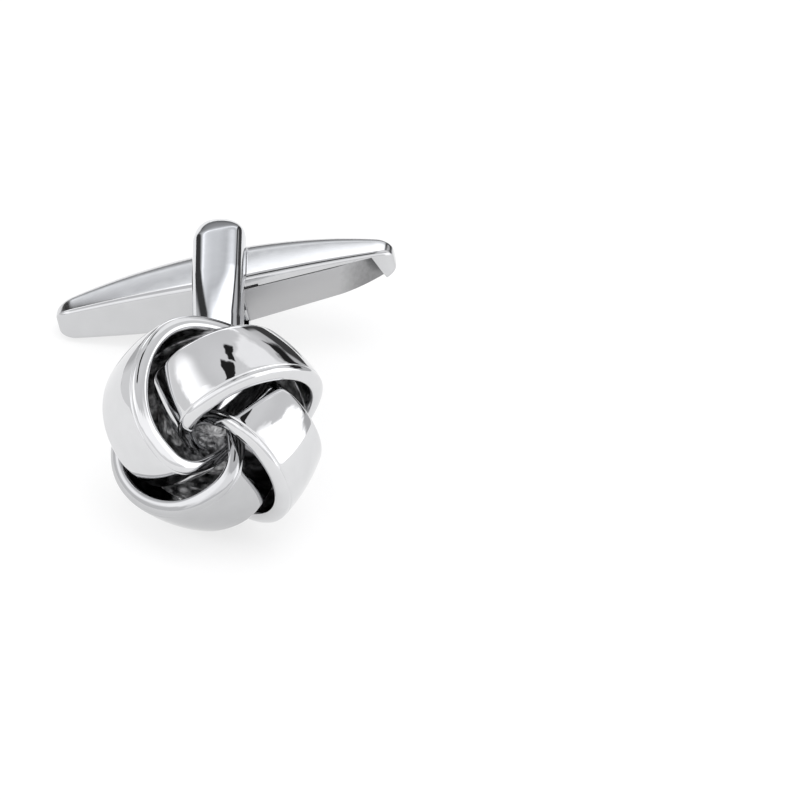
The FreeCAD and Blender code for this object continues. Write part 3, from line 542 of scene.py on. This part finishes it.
front = math_node("GREATER_THAN", math_node("ABSOLUTE", az_), 115.0)
col = lay(col, math_node("MULTIPLY", front, window(el_, -16, 12, 3)), 0.9)      # bright room in front
col = lay(col, math_node("MULTIPLY", front, window(el_, 12, 50, 4)), 1.3)
col = panel(col, (86, 132), (-8, 42), 3, 1.75)          # right soft box
col = panel(col, (-132, -74), (8, 46), 10, 1.6, False)  # left soft box
col = panel(col, (-42, 10), (17, 34), 3, 2.0)           # strip light behind
col = panel(col, (24, 64), (10, 26), 2, 0.02)           # dark flags, right
col = panel(col, (60, 76), (4, 15), 2, 0.02)
col = panel(col, (12, 60), (36, 76), 4, 1.15)           # soft panel high on the right
col = panel(col, (-126, -46), (-12, 18), 5, 0.86)       # pale wall, left
col = panel(col, (11, 29), (-16, 9), 1.5, 0.06, False)  # dark cards either side of the gap behind
col = panel(col, (11, 16), (7, 22), 1.5, 0.06, False)
col = panel(col, (-28, -19), (-20, 22), 1.5, 0.05, False)
# the gap itself, pale in the middle and dark towards the table
gm = N.new("ShaderNodeMapRange"); gm.inputs["From Min"].default_value = -20; gm.inputs["From Max"].default_value = 24
L.new(el0, gm.inputs["Value"])
gap = N.new("ShaderNodeValToRGB"); gap.color_ramp.interpolation = "EASE"
GAP = ((-20, 0.12), (-6, 0.16), (1, 0.34), (5, 0.56), (7.8, 0.78), (9.6, 1.5), (11.2, 0.98), (12.6, 0.90), (13.7, 0.74), (15.0, 0.68), (16.2, 1.0), (18.0, 1.75), (24, 2.0))
ge = gap.color_ramp.elements
ge[0].position = 0.0; ge[0].color = (0.12, 0.12, 0.125, 1); ge[1].position = 1.0; ge[1].color = (2.0, 2.0, 2.02, 1)
for e_, v_ in GAP[1:-1]:
    q = ge.new((e_ + 20) / 44); q.color = (v_ * 0.985, v_, v_ * 1.03, 1)
L.new(gm.outputs["Result"], gap.inputs["Fac"])
gx = N.new("ShaderNodeMix"); gx.data_type = "RGBA"
L.new(math_node("MULTIPLY", window(az0, -19, 11, 1.5), window(el0, -20, 24, 1.0)), gx.inputs["Factor"])
L.new(col, gx.inputs["A"]); L.new(gap.outputs["Color"], gx.inputs["B"])
col = gx.outputs["Result"]
# dark boom overhead, in two lengths
jx = math_node("ADD", sx.outputs["X"], math_node("MULTIPLY", shake, 0.007))
jy = math_node("ADD", sx.outputs["Y"], math_node("MULTIPLY", shake, 0.006))
up = step(sx.outputs["Z"], 0.5, 0.7)
for bx, by in (((-0.09, 0.035), (0.17, 0.46)), ((-0.25, -0.03), (-0.34, 0.13))):
    boom = math_node("MULTIPLY", window(jx, bx[0], bx[1], 0.012), window(jy, by[0], by[1], 0.02))
    col = lay(col, math_node("MULTIPLY", boom, up), 0.02)
L.new(col, bg.inputs["Color"])
bg.inputs["Strength"].default_value = 1.0

def area(name, loc, target, size, power):
    d = bpy.data.lights.new(name, "AREA"); d.shape = "RECTANGLE"; d.size, d.size_y = size; d.energy = power
    o = bpy.data.objects.new(name, d); bpy.context.scene.collection.objects.link(o)
    o.location = loc
    o.rotation_euler = (Vector(target) - Vector(loc)).to_track_quat("-Z", "Y").to_euler()
    o.visible_glossy = False
    return o
area("top_soft", (0.03, -0.02, 0.40), (0, 0, 0), (0.30, 0.30), 0.6)

cam_d = bpy.data.cameras.new("cam"); cam = bpy.data.objects.new("cam", cam_d)
bpy.context.scene.collection.objects.link(cam)
cam_d.sensor_width = 36; cam_d.lens = 5250 / 800 * 36; cam_d.clip_start = 0.01
AIM = np.array([[0.97716698, 0.01351601, -0.21204248], [0.18357114, 0.44881031, 0.87456900], [0.10698753, -0.89352483, 0.43608147]]) @ REST.T
POS = (REST @ np.array([41.0038983, -257.6229149, 124.8578766]) + SHIFT) * MM
cam.matrix_world = Matrix([[float(AIM[0][i]), float(AIM[1][i]), float(AIM[2][i]), float(POS[i])] for i in range(3)] + [[0, 0, 0, 1]])
bpy.context.scene.camera = cam
bpy.context.scene.view_settings.view_transform = "Standard"
